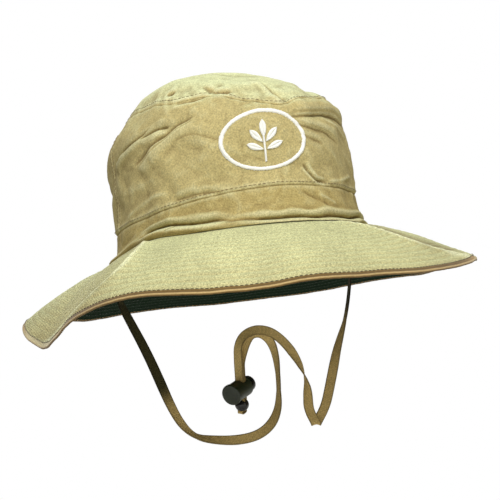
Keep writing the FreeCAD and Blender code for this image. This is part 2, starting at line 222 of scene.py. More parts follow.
def profile(place):
    """Half width and height of the crown at a profile index, with the outward normal there."""
    def through(values, x):
        slopes = np.gradient(values)
        slopes[0] = values[1] - values[0]
        slopes[-1] = 2 * (values[-1] - values[-2]) - slopes[-2]
        i = np.clip(np.floor(x).astype(int), 0, len(values) - 2)
        t = x - i
        value = eased(t, values[i], values[i + 1], slopes[i], slopes[i + 1])
        rate = ((6 * t**2 - 6 * t) * (values[i] - values[i + 1]) + (3 * t**2 - 4 * t + 1) * slopes[i]
                + (3 * t**2 - 2 * t) * slopes[i + 1])
        return value, rate

    place = np.asarray(place, float)
    width, run = through(PROFILE_WIDTHS, place)
    height, rise = through(PROFILE_HEIGHTS, place)
    length = np.hypot(run, rise) + 1e-9
    return np.maximum(width, 0.0), height, rise / length, -run / length


def crown_base(degrees, place):
    """Point and outward normal on the crown's plain surface."""
    degrees, place = matched(degrees, place)
    angle = np.radians(degrees)
    width, height, out, up = profile(place)
    points = np.stack([width * np.sin(angle), -LENGTH_RATIO * width * np.cos(angle), height], -1)
    normals = np.stack([out * np.sin(angle), -out * np.cos(angle) / LENGTH_RATIO, up], -1)
    return points, unit(normals)


SEAM_TABLE = [
    (-150, 10.0), (-120, 10.6), (-82, 11.1), (-59, 10.8), (-43, 10.3), (-27, 10.4), (-20, 10.4), (-12, 10.0),
    (-3, 9.2), (3, 8.6), (10, 8.2), (14, 8.4), (19, 8.8), (29, 9.5), (52, 10.2), (90, 10.0), (130, 9.8),
    (170, 10.1),
]
RING_TABLE = [
    (-150, 0.0), (-115, -2.6), (-96, -4.4), (-84, -3.0), (-70, 1.6), (-58, 2.8), (-40, 0.6), (-15, -0.6),
    (20, -1.2), (60, -1.2), (100, -0.6), (160, 0),
]
BAND_TABLE = [
    (-150, -1.0), (-90, -4.6), (-64, -3.8), (-49, -2.0), (-30, 0.2), (0, 1.6), (30, 0.2), (60, 0), (120, 0.6),
    (170, 0),
]
TIP_TILT = [
    (-78, 0.0), (-60, 2.0), (-45, 3.6), (-31, 2.6), (0, -1.6), (23, -3.2), (50, -1.2), (63, 1.6), (78, 1.0),
]

# How far the crown stands out from its plain shape: (angle, distance) pairs, a height and a reach, for its
# lip over the brim, its waist, its shoulder and its sides.
SWELLS = [
    ([(-150, 1.2), (-115, 3.6), (-95, 6.4), (-80, 4.4), (-60, 3.6), (-30, 3.0), (0, 2.2), (40, 1.6),
      (90, 1.6), (150, 1.4)], 2.2, 3.4),
    ([(-140, 0), (-110, 1.0), (-90, 1.6), (-70, 0.4), (-50, -0.4), (0, 0), (60, -1.2), (90, -2.6),
      (130, -0.5)], 27, 17.0),
    ([(-140, 0), (-110, -0.8), (-85, -1.4), (-50, -0.4), (0, 0), (50, 1.0), (75, 3.0), (95, 2.2), (130, 0)],
     88, 12.0),
    ([(-140, 0), (-110, -1.0), (-85, -1.8), (-60, -0.6), (0, 0), (60, -0.6), (85, -1.6), (120, -0.6)],
     62, 20.0),
]


def tip_seam_place(degrees):
    """Profile index of the seam between the sides and the tip."""
    return round_the_hat(SEAM_TABLE, degrees)


CREASE_STRENGTH = 1.2
# Creases: kind, half width and depth in millimetres, then (angle, profile index) points.
# A fold is a step, high on the left of its direction; a groove is a valley; a ridge is a raised line.
CREASES = [
    ("fold", 3.0, 1.7, [(-54, 8.2), (-62, 7.6), (-75, 7.0), (-88, 6.4)]),
    ("fold", 5.0, 2.4, [(-29, 8.1), (-33, 7.9), (-41, 7.6), (-49, 7.0), (-59, 6.3), (-68, 5.6)]),
    ("groove", 2.4, 2.0, [(-62, 7.5), (-57, 7.7), (-51, 7.9), (-44, 8.0)]),
    ("groove", 2.2, 1.5, [(-51, 11.3), (-45, 11.3)]),
    ("groove", 2.6, 1.3, [(-28, 11.4), (-22, 10.7), (-17, 10.6), (-11, 10.5)]),
    ("fold", 4.0, 0.6, [(-20, 5.9), (-27, 6.3), (-34, 6.6), (-44, 6.5)]),
    ("ridge", 3.0, 0.9, [(-80, 3.5), (-67, 3.8), (-58, 3.9), (-48, 3.8)]),
    ("groove", 2.2, 1.0, [(-48, 3.4), (-30, 3.25), (-18, 3.2)]),
    ("groove", 1.6, 1.2, [(-44, 10.2), (-36, 10.15), (-26, 10.3)]),
    ("groove", 2.4, 3.4, [
      (-70, 0.45), (-65, 0.7), (-60, 1.15), (-50, 1.2), (-38, 0.95), (-28, 0.85), (-20, 0.6)]),
    ("groove", 1.9, 3.5, [
      (-26, 0.4), (-18, 0.6), (-8, 0.55), (2, 0.42), (12, 0.4), (27, 0.42), (48, 0.55), (66, 0.6), (80, 0.6)]),
    ("groove", 1.6, 1.0, [(-52, 0.5), (-47, 1.0)]),
    ("fold", 4.8, 2.6, [(10, 7.3), (15, 7.5), (24, 7.7), (38, 7.95), (52, 7.8), (66, 7.2)]),
    ("fold", 3.6, 1.5, [(14, 7.0), (18, 6.9), (26, 6.6), (37, 6.3), (45, 5.8)]),
    ("ridge", 2.4, 0.9, [(36, 7.4), (46, 6.9), (58, 6.3)]),
    ("groove", 2.2, 0.8, [(16, 6.15), (24, 5.7), (30, 5.45)]),
    ("groove", 1.6, 2.0, [(16, 4.4), (18, 3.95), (20.5, 3.6), (23.5, 3.3), (30, 3.2)]),
    ("ridge", 2.4, 0.9, [(29, 3.3), (42, 3.6), (56, 4.0)]),
    ("ridge", 2.2, 0.8, [(80, 5.2), (73, 4.3), (69, 3.5)]),
    ("groove", 3.0, 0.8, [(12, 2.5), (22, 1.7), (28, 1.2)]),
    ("ridge", 2.2, 0.7, [(21, 2.2), (26.5, 1.8), (33, 1.35)]),
    ("fold", 3.4, 2.0, [(14, 8.0), (11, 9.2), (8, 11.3), (6, 12.2)]),
    ("groove", 4.0, 0.8, [(-11, 8.8), (-4, 9.0), (1, 8.8), (4, 8.2)]),
    ("fold", 6.0, 1.6, [(112, 5.2), (98, 6.0), (84, 6.5), (70, 6.8)]),
    ("groove", 4.0, 0.7, [(62, 6.0), (74, 5.6), (86, 4.9), (93, 4.2)]),
    ("fold", 6.0, 1.6, [(98, 9.0), (109, 7.8), (119, 6.4), (126, 4.6)]),
    ("groove", 4.0, 0.7, [(122, 7.4), (134, 7.2), (148, 6.4)]),
    ("fold", 5.5, 1.5, [(142, 9.2), (150, 7.6), (162, 6.4), (176, 5.4)]),
    ("ridge", 4.0, 0.7, [(160, 9.0), (170, 8.0), (176, 6.8)]),
    ("fold", 6.0, 1.6, [(-168, 8.7), (-160, 7.2), (-150, 5.9), (-138, 4.6)]),
    ("groove", 4.0, 0.6, [(-146, 7.2), (-134, 7.9), (-122, 8.9)]),
    ("fold", 5.0, 1.4, [(-99, 8.2), (-108, 6.9), (-119, 5.8), (-131, 4.2)]),
    ("groove", 3.4, 0.6, [(-170, 4.7), (-161, 4.0), (-150, 3.4)]),
    ("groove", 2.4, 1.6, [(110, 0.8), (126, 1.0), (142, 0.7)]),
    ("groove", 2.4, 1.6, [(-176, 0.8), (-156, 1.0), (-138, 0.7)]),
    ("groove", 3.0, 1.2, [(100, 2.4), (108, 1.6), (116, 1.1)]),
    ("fold", 6.0, 1.2, [(150, 11.2), (168, 11.8), (-176, 11.6), (-160, 11.0)]),
    ("groove", 5.5, 0.8, [(100, 11.6), (110, 12.4), (128, 13.0)]),
    ("groove", 6.0, 0.7, [(-130, 12.0), (-120, 12.8), (-100, 13.4)]),
    ("fold", 6.0, 1.1, [(40, 12.6), (62, 12.2), (82, 11.6)]),
    ("groove", 6.0, 0.7, [(-30, 13.4), (0, 13.2), (30, 13.6)]),
]


def fine_line(points, count=12):
    """A smooth line through a few points, as many short steps."""
    points = np.asarray(points, float)
    ends = [2 * points[0] - points[1], *points, 2 * points[-1] - points[-2]]
    line = [between(t, *four) for four in zip(ends, ends[1:], ends[2:], ends[3:])
            for t in np.arange(count) / count]
    return np.array([*line, points[-1]])


def crease_height(points):
    """How far the creases push each crown point out along its normal."""
    total = np.zeros(points.shape[:-1])
    for kind, width, depth, stations in CREASES:
        degrees = np.unwrap(np.radians([a for a, _ in stations]))
        along = fine_line(np.stack([np.degrees(degrees), [p for _, p in stations]], -1))
        line, line_normals = crown_base(along[:, 0], along[:, 1])
        reach = 4.5 * width + 2.0
        near = np.all((points > line.min(0) - reach) & (points < line.max(0) + reach), axis=-1)
        if not near.any():
            continue
        spots = points[near]
        spots = spots + 1.4 * np.stack([noise(spots, 24.0, seed) for seed in (31, 32, 33)], -1)
        best = np.full(len(spots), 1e9)
        side = np.zeros(len(spots))
        share = np.zeros(len(spots))
        travelled = distances(line)
        for k, (a, b) in enumerate(zip(line, line[1:])):
            run = b - a
            t = np.clip((spots - a) @ run / (run @ run + 1e-9), 0, 1)
            offset = spots - a - t[:, None] * run
            distance = np.linalg.norm(offset, axis=-1)
            left = np.cross(line_normals[k], run)
            closer = distance < best
            best = np.where(closer, distance, best)
            side = np.where(closer, np.sign(offset @ left), side)
            here = travelled[k] + t * (travelled[k + 1] - travelled[k])
            share = np.where(closer, here / travelled[-1], share)
        taper = step_between(share, -0.02, 0.22) * step_between(1 - share, -0.02, 0.22)
        wander = 1 + 0.25 * noise(spots, 16.0, 3)
        d = best / (width * wander)
        if kind == "groove":
            lift = -np.exp(0.5 - np.sqrt(0.25 + (2.6 * d) ** 2)) + 0.32 * np.exp(-((d - 1.8) / 0.9) ** 2)
        elif kind == "ridge":
            lift = np.exp(0.5 - np.sqrt(0.25 + (2.0 * d) ** 2))
        else:
            lift = np.where(side < 0, -np.exp(-np.abs(d - 0.35) * 1.5), 0.75 * np.exp(-((d - 1.0) / 1.1) ** 2))
            lift = lift * step_between(d, 0.0, 0.5)
        total[near] += CREASE_STRENGTH * depth * taper * lift
    return total


def crown_bulge(degrees, place, points):
    """The crown's plain surface with its lean, its tilted tip and its uneven seams."""
    moved = points.copy()
    x, z = points[..., 0], points[..., 2]
    moved[..., 0] -= 1.8 * step_between(z, 30, 70) - 1.0 * step_between(z, 76, 100)
    moved[..., 2] += curve_through(TIP_TILT, x) * step_between(place, 9.0, 11.5)
    moved[..., 2] += round_the_hat(RING_TABLE, degrees) * bell(z / 14.0)
    moved[..., 2] += round_the_hat(BAND_TABLE, degrees) * bell((z - 23.0) / 12.0)
    return moved


def crumples(points):
    """Papery facets that meet in crisp edges, where stretched noise changes its sign."""
    total = 0.0
    stretched = points * np.array([1.0, 1.0, 1.4])
    for size, seed, height in ((46.0, 21, 2.8), (29.0, 22, -1.5), (17.0, 23, 0.45), (9.0, 24, -0.12)):
        wave = noise(stretched + 5 * noise(points, 30.0, seed + 40)[..., None], size, seed)
        total = total + height * (0.28 - np.sqrt(wave ** 2 + 0.0003))
    return total


def puckers(degrees, place):
    """Small gathers that a seam's thread draws up, as a height in millimetres."""
    around = np.radians(degrees) * CROWN_RADIUS
    total = 0.0
    for seam, size, reach, height in ((tip_seam_place(degrees), 7.5, 9.0, 0.42), (BAND_SEAM, 8.5, 7.0, 0.34)):
        gap = (place - seam) * 9.0
        wave = noise(np.stack([around + 0.5 * gap, gap * 0.18, np.full_like(around, 3.0 * size)], -1), size, 5)
        total = total + height * wave * np.exp(-np.abs(gap) / reach) * 1.6
    return total


def seam_grooves(degrees, place):
    """The valleys in which the panels are joined."""
    total = 0.0
    for seam, depth, wide, swell, beyond in ((tip_seam_place(degrees), 0.55, 0.8, 0.25, 2.2),
                                             (BAND_SEAM, 0.9, 0.7, 0.45, 2.0)):
        gap = (place - seam) * 8.5
        total = total - depth * np.exp(-np.abs(gap) / wide) + swell * bell((gap - beyond) / 1.6)
    on_side = step_between(place, 2.6, 3.2) * (1 - step_between(place, 10.0, 10.6))
    for seam in (-90.0, 90.0):
        gap = np.abs(wrapped(degrees - seam)) * 1.55
        total = total + (-0.8 * np.exp(-gap / 0.7) + 0.3 * np.exp(-(gap - 2.4) ** 2 / 3.0)) * on_side
    return total


def hidden_side(degrees, place):
    """1 on the back and on the tip's middle, which lie smoother than the front, and 0 on the front."""
    return np.maximum(step_between(np.abs(wrapped(degrees)), 72, 110), step_between(place, 12.0, 14.0))


def crown_relief(degrees, place, points):
    """The height of the crown's folds, wrinkles and seams above its soft shape."""
    z = points[..., 2]
    calm = 1 - 0.45 * hidden_side(degrees, place)
    total = crease_height(points) + crumples(points) * step_between(z, 3, 12) * calm
    total = total + puckers(degrees, place) + seam_grooves(degrees, place)
    return total + noise(points, 9.0, 4, 2) * 0.22 * step_between(z, 2, 10)


def crown_wear_and_shade(degrees, place):
    """Where a grid of crown points stands proud of the cloth round it (worn pale, with a painted highlight) or
    lies in a fold (painted shade).
    """
    relief = crown_relief(degrees, place, crown_base(degrees, place)[0])
    total = 0.0
    for cells, share in ((1, 3.5), (3, 1.2)):
        around = relief
        kernel = bell(np.linspace(-2, 2, 4 * cells + 1))
        kernel = kernel / kernel.sum()
        for axis in (0, 1):
            pads = [(2 * cells, 2 * cells) if k == axis else (0, 0) for k in (0, 1)]
            wide = np.pad(around, pads, mode="edge")
            around = sum(weight * np.take(wide, np.arange(relief.shape[axis]) + k, axis)
                         for k, weight in enumerate(kernel))
        total = total + share * (relief - around)
    return np.clip(total * (1 - 0.5 * hidden_side(degrees, place)), -1.0, 1.0)


def crown_point(degrees, place, depth=0.0, detail=True):
    """A point of the crown, a given depth behind its outer face, with every fold in it."""
    degrees, place = matched(degrees, place)
    points, normals = crown_base(degrees, place)
    z = points[..., 2]
    out = sum(round_the_hat(table, degrees) * bell((z - height) / reach) for table, height, reach in SWELLS)
    calm = 1 - step_between(place, 14.5, 15.9)
    soft = noise(points, 46.0, 1) * 2.0 + noise(points, 21.0, 2) * 0.9
    out = out + soft * step_between(z, 4, 26) * (0.4 + 0.6 * calm)
    if detail:
        out = out + crown_relief(degrees, place, points)
    return crown_bulge(degrees, place, points) + normals * (out - depth)[..., None]


# ------------------------------------------------------------------ the brim's surface
STITCH_ROWS = 16
LEFT_RIDGE = [
    (0.0, -62), (0.3, -54), (0.5, -52.6), (0.7, -54), (0.8, -56), (0.9, -59), (0.95, -62.5), (1.0, -70),
]
# The line of the left crease's pale crest, worn and painted as a highlight, with painted shade beside it: (out,
# angle).
LEFT_CREST_LINE = [
    (0.0, -62), (0.3, -54), (0.5, -52.6), (0.7, -54), (0.79, -57.6), (0.85, -62), (0.88, -66), (0.91, -74),
    (0.94, -81), (0.96, -86), (1.0, -94),
]
RIGHT_RIDGE = [
    (0.0, 18), (0.15, 25), (0.3, 31), (0.4, 32.6), (0.5, 34.4), (0.6, 36.4), (0.7, 39.6), (0.8, 44.4),
    (0.9, 51), (1.0, 60),
]

# How far the brim's sides, and its edge alone, stand above the CAD's plain slope.
WING_TABLE = [
    (-150, 0), (-125, -0.2), (-100, -0.6), (-84, -1.8), (-70, -0.8), (-50, 0), (20, -0.3), (45, 0.8),
    (66, 1.4), (84, 2.4), (110, 1.0), (140, 0),
]
TIP_TABLE = [
    (-150, 0), (-120, 0.6), (-90, 1.2), (-70, 0.4), (-50, 0), (20, 0.6), (40, 0.6), (60, 1.2), (74, 3.4),
    (88, 2.2), (110, 0), (150, 0),
]


def crest(gap):
    """A sharp crease's height at a distance from its line, 1 on the line itself."""
    return np.exp(0.14 - np.sqrt(0.0196 + gap**2 * 5))


def brim_wear_and_shade(degrees, out):
    """How pale the brim is along its creases, as wear and painted highlight (up to 1), and its painted shade
    behind its ridges and near the crown (down to -1).
    """
    total = 0.0
    for table, wide, dark in ((LEFT_CREST_LINE, 0.9, 0.15), (RIGHT_RIDGE, 0.8, 0.65)):
        gap = wrapped(degrees - curve_through(table, out)) * np.sign(table[0][1])
        # Painted shade just behind each ridge, and painted shadow on the brim near the crown.
        shade = dark * step_between(gap, 0.8, 2.6) * (1 - step_between(gap, 4.0, 16.0))
        shade = shade * (1 - step_between(out, 0.82, 0.95))
        near = 0.5 * step_between(gap, 0.0, 3.0) * (1 - step_between(gap, 20.0, 40.0))
        near = near * (1 - step_between(out, 0.05, 0.4))
        total = total + 1.3 * bell(gap / (wide + 3 * step_between(out, 0.84, 0.92))) - shade - near
    return np.clip(total, -1.0, 1.0)


def brim_point(degrees, out, depth=0.0, beyond=0.0):
    """A point of the brim: out is 0 at the crown and 1 at the edge, beyond is a distance past the edge."""
    degrees, out = matched(degrees, out)
    angle = np.radians(degrees)
    drop = round_the_brim(EDGE_HEIGHTS, degrees)
    reach = np.sqrt(BRIM_WIDTH**2 - drop**2) * out + beyond
    for middle, short in ((68, 2.0), (-96, 1.6)):
        reach = reach - short * out * bell(wrapped(degrees - middle) / 14.0)
    mid = out * (1 - out)
    rising = step_between(out, 0.0, 0.2)
    height = drop * (out - round_the_brim(BRIM_HOLLOWS, degrees) * mid)
    height = height + round_the_hat(RING_TABLE, degrees) * (1 - out) ** 2
    for ridge, size, wide in ((LEFT_RIDGE, 4.0, 8.0), (RIGHT_RIDGE, 2.8, 7.0)):
        gap = wrapped(degrees - curve_through(ridge, out)) / wide
        height = height + size * crest(gap) * (0.2 + 3.2 * mid) * rising
    height = height + round_the_hat(WING_TABLE, degrees) * step_between(out, 0.0, 0.3)
    height = height + round_the_hat(TIP_TABLE, degrees) * step_between(out, 0.6, 1.0)
    around = np.stack([130 * np.sin(angle), -150 * np.cos(angle), 40 * out], -1)
    spots = np.stack([(86.4 + reach) * np.sin(angle), -(102.9 + reach) * np.cos(angle), 60 * out], -1)
    lumps = noise(around, 38.0, 6) * 1.0 + noise(around, 17.0, 7) * 0.35 + noise(spots, 5.0, 8, 2) * 0.12
    quilt = np.abs(np.sin(np.pi * out * (STITCH_ROWS + 0.5)))**0.6
    quilt = quilt * (1 - 0.55 * bell(wrapped(degrees + 94) / 20.0))
    height = height + lumps * step_between(out, 0.0, 0.25)
    height = height + 0.42 * quilt * step_between(out, 0.0, 0.02) * step_between(1 - out, -0.01, 0.02)
    x = (87.0 - BRIM_INNER_STEP + reach) * np.sin(angle)
    y = -(103.5 - BRIM_INNER_STEP + reach) * np.cos(angle)
    return np.stack([x, y, height - depth], -1)


# ------------------------------------------------------------------ meshes
def link_mesh(name, vertices, faces, material, weave=None, sharp=50.0):
    """A new object from points in millimetres, with the cloth's own thread coordinates."""
    mesh = bpy.data.meshes.new(name)
    vertices = np.asarray(vertices, float).reshape(-1, 3)
    mesh.from_pydata((vertices * MM).tolist(), [], [list(map(int, f)) for f in faces])
    mesh.validate()
    if weave is not None:
        layer = mesh.attributes.new("weave", "FLOAT_VECTOR", "POINT")
        values = (np.asarray(weave, float).reshape(-1, 3) * MM).astype(np.float32)
        layer.data.foreach_set("vector", values.ravel())
    mesh.polygons.foreach_set("use_smooth", [True] * len(mesh.polygons))
    mesh.set_sharp_from_angle(angle=math.radians(sharp))
    mesh.materials.append(material)
    made = bpy.data.objects.new(name, mesh)
    bpy.context.scene.collection.objects.link(made)
    return made


def grid_faces(rows, columns, wrap=False, tube=False, turned=False):
    """Quads between neighbouring points of a grid; it may close on itself along its rows and across them."""
    index = np.arange(rows * columns).reshape(rows, columns)
    if wrap:
        index = np.concatenate([index, index[:1]])
    if tube:
        index = np.concatenate([index, index[:, :1]], axis=1)
    quads = np.stack([index[:-1, :-1], index[1:, :-1], index[1:, 1:], index[:-1, 1:]], -1).reshape(-1, 4)
    return quads[:, [0, 3, 2, 1]] if turned else quads


def shell(name, outer, inner, material, weave, wrap=False, whole=False):
    """A closed sheet of cloth between two grids of points; a whole one closes in the middle of the tip."""
    rows, columns = outer.shape[:2]
    count = rows * columns
    quads = grid_faces(rows, columns, wrap)
    faces = [quads, quads[:, ::-1] + count]
    index = np.arange(count).reshape(rows, columns)
    borders = [(index[:, 0], True)] + ([] if whole else [(index[:, -1], False)])
    if not wrap:
        borders += [(index[0], False), (index[-1], True)]
    for border, turned in borders:
        ring = np.append(border, border[0]) if wrap else border
        a, b = ring[:-1], ring[1:]
        wall = np.stack([a, b, b + count, a + count], -1)
        faces.append(wall if turned else wall[:, ::-1])
    faces = np.concatenate(faces).tolist()
    if whole:
        faces += [index[:, -1].tolist(), (index[::-1, -1] + count).tolist()]
    points = np.concatenate([outer.reshape(-1, 3), inner.reshape(-1, 3)])
    return link_mesh(name, points, faces, material, np.concatenate([weave.reshape(-1, 3)] * 2))


def crown_panel(name, first, last, low, high, depths, material, columns, rows, wrap=False, detail=True,
                flat=False):
    """A panel of the crown from place low to place high, which are numbers or functions of the angle."""
    degrees = np.linspace(first, last, columns + 1)[:columns if wrap else None, None]
    starts, ends = (np.broadcast_to(edge(degrees) if callable(edge) else edge, degrees.shape)
                    for edge in (low, high))
    place = starts + (ends - starts) * np.linspace(0, 1, rows + 1)
    degrees = np.repeat(degrees, rows + 1, axis=1)
    outer, inner = (crown_point(degrees, place, depth, detail) for depth in depths)
    weave = crown_base(degrees, place)[0]
    if not flat:
        weave = np.stack([np.radians(degrees) * CROWN_RADIUS, weave[..., 2], place], -1)
    # For crown and tip cloth, the third thread coordinate holds wear with painted highlight and painted shade.
    weave[..., 2] = crown_wear_and_shade(degrees, place) if material.name.startswith(("crown", "tip")) else 0.0
    return shell(name, outer, inner, material, weave, wrap, whole=flat)


def brim_panel(name, first, last, depths, material, columns, places):
    """Half of one layer of the brim."""
    degrees = np.linspace(first, last, columns + 1)[:, None]
    out = np.asarray(places)[None, :]
    outer, inner = (brim_point(degrees, out, depth) for depth in depths)
    # The third thread coordinate holds the pale crest lines and the painted shade.
    weave = np.stack([outer[..., 0], outer[..., 1], brim_wear_and_shade(degrees, out)], -1)
    return shell(name, outer, inner, material, weave)


# ------------------------------------------------------------------ materials
def linear(red, green, blue):
    """A colour given in 0..255 display values."""
    return tuple((c / 255 / 12.92) if c / 255 <= 0.04045 else ((c / 255 + 0.055) / 1.055) ** 2.4
                 for c in (red, green, blue))


class Finish:
    """A material with a Principled shader, and short ways to add nodes to it."""

    def __init__(self, name, colour, roughness):
        self.material = bpy.data.materials.new(name)
        self.material.use_nodes = True
        self.shader = self.material.node_tree.nodes["Principled BSDF"]
        self.put(self.shader, {"Base Color": colour, "Roughness": roughness})

    def put(self, node, values):
        """Numbers, colours or other nodes' outputs for a node's inputs."""
        for key, value in values.items():
            socket = node.inputs[key]
            if isinstance(value, bpy.types.NodeSocket):
                self.material.node_tree.links.new(value, socket)
            else:
                socket.default_value = (*value, 1) if socket.type == "RGBA" else value

    def node(self, kind, output, values=None, **settings):
        """One output of a new node."""
        made = self.material.node_tree.nodes.new("ShaderNode" + kind)
        for key, value in settings.items():
            setattr(made, key, value)
        self.put(made, values or {})
        return made.outputs[output]

    def mix(self, factor, a, b, blend="MIX"):
        """A mix of two colours."""
        return self.node("Mix", 2, {0: factor, 6: a, 7: b}, data_type="RGBA", blend_type=blend)

    def maths(self, operation, a, b=0.5):
        """The result of a sum on one or two values."""
        return self.node("Math", 0, {0: a, 1: b}, operation=operation)

    def noise(self, scale, detail=3.0, roughness=0.55):
        """Noise of so many lumps per metre."""
        return self.node("TexNoise", "Fac", {"Vector": self.node("TexCoord", "Object"), "Scale": scale,
                                             "Detail": detail, "Roughness": roughness})

    def spread(self, value, low, high, to_low=0.0, to_high=1.0):
        """A value moved from one range to another."""
        return self.node("MapRange", "Result", {"Value": value, "From Min": low, "From Max": high,
                                                "To Min": to_low, "To Max": to_high})

    def done(self, height, relief, **inputs):
        """The material, with its relief in millimetres and more shader inputs, named with _ for a space."""
        bump = self.node("Bump", 0, {"Height": height, "Distance": relief * MM})
        inputs = {key.replace("_", " "): value for key, value in inputs.items()}
        self.put(self.shader, {"Normal": bump, **inputs})
        return self.material


def woven_cloth(name, colour, thread=0.45, relief=0.05, fleck=0.10, fade=0.10, sheen=0.25, turn=0.0,
                twill=False, top_lit_colour=None, sky=(0.42, 0.86), brim_shadow_colour=None, pebble=0.0, wear_and_shade=0.0):
    """Plain woven cloth: crossing threads of the given width in millimetres, flecks and soft fading."""
    finish = Finish(name, colour, CLOTH_ROUGHNESS)
    own = finish.node("Attribute", "Vector", attribute_name="weave")
    wear_and_shade_mask, across = (finish.node("SeparateXYZ", axis, {0: own}) for axis in "ZY")
    threads = finish.node("Mapping", 0, {"Vector": own, "Rotation": (0, 0, turn)})
    scale = 1 / (2 * thread * MM) / 3.1831
    waves = [finish.node("TexWave", "Fac", {"Vector": threads, "Scale": scale, "Distortion": 0.6, "Detail": 1.0,
                                            "Detail Scale": 2.0}, bands_direction=axis) for axis in "XY"]
    weave = finish.maths("MAXIMUM", *waves)
    if twill:
        slanted = finish.node("Mapping", 0, {"Vector": threads, "Rotation": (0, 0, math.radians(45))})
        ribs = finish.node("TexWave", "Fac", {"Vector": slanted, "Scale": scale * 0.8})
        weave = finish.maths("MULTIPLY", weave, ribs)
    soft, fine, middle = finish.noise(26.0), finish.noise(900.0, 2.0, 0.7), finish.noise(160.0, 3.0, 0.6)
    shade = colour
    if top_lit_colour:
        # Painted light: cloth that faces the sky gets a lighter, top-lit colour.
        facing = finish.node("SeparateXYZ", "Z", {0: finish.node("NewGeometry", "Normal")})
        shade = finish.mix(finish.spread(facing, *sky), colour, top_lit_colour)
    if wear_and_shade:
        # Crests are worn pale and carry a painted highlight; folds get painted shade in brown.
        shade = finish.mix(finish.spread(wear_and_shade_mask, 0.0, MM, 0.0, wear_and_shade), shade, PALE_WORN_LIT_KHAKI)
        shade = finish.mix(finish.spread(wear_and_shade_mask, 0.0, -MM, 0.0, min(1.5 * wear_and_shade, 1.0)), shade, BROWN_SHADE_KHAKI)
    if brim_shadow_colour:
        # Painted shadow of the brim on the tape, where its third thread coordinate says so; also darker along
        # its woven edges.
        shade = finish.mix(finish.spread(wear_and_shade_mask, 0.0, MM), colour, brim_shadow_colour)
        edge = finish.spread(finish.maths("ABSOLUTE", across), 2.5 * MM, 3.2 * MM, 1.0, 0.4)
        shade = finish.mix(1.0, shade, edge, "MULTIPLY")
    for value, low, high, darkest, palest in ((fine, 0.32, 0.68, 1 - 1.5 * fleck, 1 + fleck),
                                              (soft, 0.33, 0.67, 1 - fade, 1 + fade),
                                              (weave, 0.1, 0.7, 0.86, 1.0)):
        shade = finish.mix(1.0, shade, finish.spread(value, low, high, darkest, palest), "MULTIPLY")
    height = finish.maths("ADD", weave, finish.maths("MULTIPLY", fine, 0.8))
    height = finish.maths("ADD", height, finish.maths("MULTIPLY", middle, 1.6))
    if pebble:
        height = finish.maths("ADD", height, finish.maths("MULTIPLY", finish.noise(420.0, 2.0, 0.6), pebble))
    rough = finish.spread(middle, 0.3, 0.7, CLOTH_ROUGHNESS - 0.08, CLOTH_ROUGHNESS + 0.08)
    return finish.done(height, relief, Base_Color=shade, Roughness=rough, Sheen_Weight=sheen,
                       Sheen_Roughness=0.5, Specular_IOR_Level=0.12)


def sewing_thread(name, colour, sheen=0.3):
    """Sewing or embroidery thread: soft gloss, with its twist as fine ridges."""
    finish = Finish(name, colour, 0.55)
    fine = finish.noise(1500.0, 2.0)
    shade = finish.mix(fine, tuple(c * 0.86 for c in colour), colour)
    rough = finish.spread(fine, 0.3, 0.7, 0.45, 0.65)
    return finish.done(fine, 0.03, Base_Color=shade, Roughness=rough, Sheen_Weight=sheen)


def plastic(name, colour, roughness):
    """Moulded plastic with a faint grain and handling marks."""
    finish = Finish(name, colour, roughness)
    grain, marks = finish.noise(700.0), finish.noise(90.0, 4.0)
    darker, lighter = tuple(c * 0.8 for c in colour), tuple(min(1, c * 1.25 + 0.004) for c in colour)
    return finish.done(grain, 0.02, Base_Color=finish.mix(finish.spread(marks, 0.35, 0.65), darker, lighter),
                       Roughness=finish.spread(marks, 0.3, 0.7, roughness - 0.07, roughness + 0.1))


def steel(name):
    """Drawn spring wire."""
    finish = Finish(name, (0.55, 0.55, 0.56), 0.3)
    drawn = finish.spread(finish.noise(1200.0, 2.0), 0.3, 0.7, 0.22, 0.42)
    finish.put(finish.shader, {"Roughness": drawn, "Metallic": 1.0})
    return finish.material


CLOTH_ROUGHNESS = 0.82
KHAKI = linear(190, 175, 122)
# Painted light: the colour of cloth lit from above.
TOP_LIT_KHAKI = linear(206, 207, 158)
# Worn pale, also used as a painted highlight on crests.
PALE_WORN_LIT_KHAKI = linear(232, 232, 190)
# Painted shade in folds and creases, also the brown along the binding's stitches.
BROWN_SHADE_KHAKI = linear(112, 88, 48)
BINDING = linear(186, 152, 96)
UNDER_GREEN = linear(20, 40, 22)
TAPE = linear(208, 180, 116)
# Also the colour of the brim's painted shadow on the tape.
DARK_TAPE = linear(66, 62, 34)

crown_look = dict(thread=0.42, relief=0.07, fleck=0.2, fade=0.05, sheen=0.03, wear_and_shade=0.42)
crown_cloth = woven_cloth("crown_cloth", KHAKI, top_lit_colour=TOP_LIT_KHAKI, sky=(0.55, 1.0), **crown_look)
lower_cloth = woven_cloth("crown_band_cloth", linear(180, 162, 106), top_lit_colour=TOP_LIT_KHAKI, sky=(0.45, 1.0),
                          **crown_look)
tip_cloth = woven_cloth("tip_cloth", KHAKI, top_lit_colour=linear(214, 217, 170), turn=0.5, **crown_look)
brim_cloth = woven_cloth("brim_cloth", KHAKI, thread=0.55, relief=0.2, fleck=0.28, sheen=0.06,
                         top_lit_colour=TOP_LIT_KHAKI, pebble=4.0, wear_and_shade=1.0)
under_cloth = woven_cloth("underside_cloth", UNDER_GREEN, thread=0.55, relief=0.09, fleck=0.2, sheen=0.0)
lining_cloth = woven_cloth("lining_cloth", linear(150, 144, 104), thread=0.5, relief=0.03, sheen=0.1)
band_cloth = woven_cloth("sweatband_cloth", linear(120, 116, 78), thread=0.5, relief=0.08, twill=True)
stiffener_cloth = woven_cloth("stiffener", linear(225, 222, 205), thread=0.6)
binding_cloth = woven_cloth("binding_tape", BINDING, thread=0.5, relief=0.08, twill=True, turn=0.7, wear_and_shade=1.0)
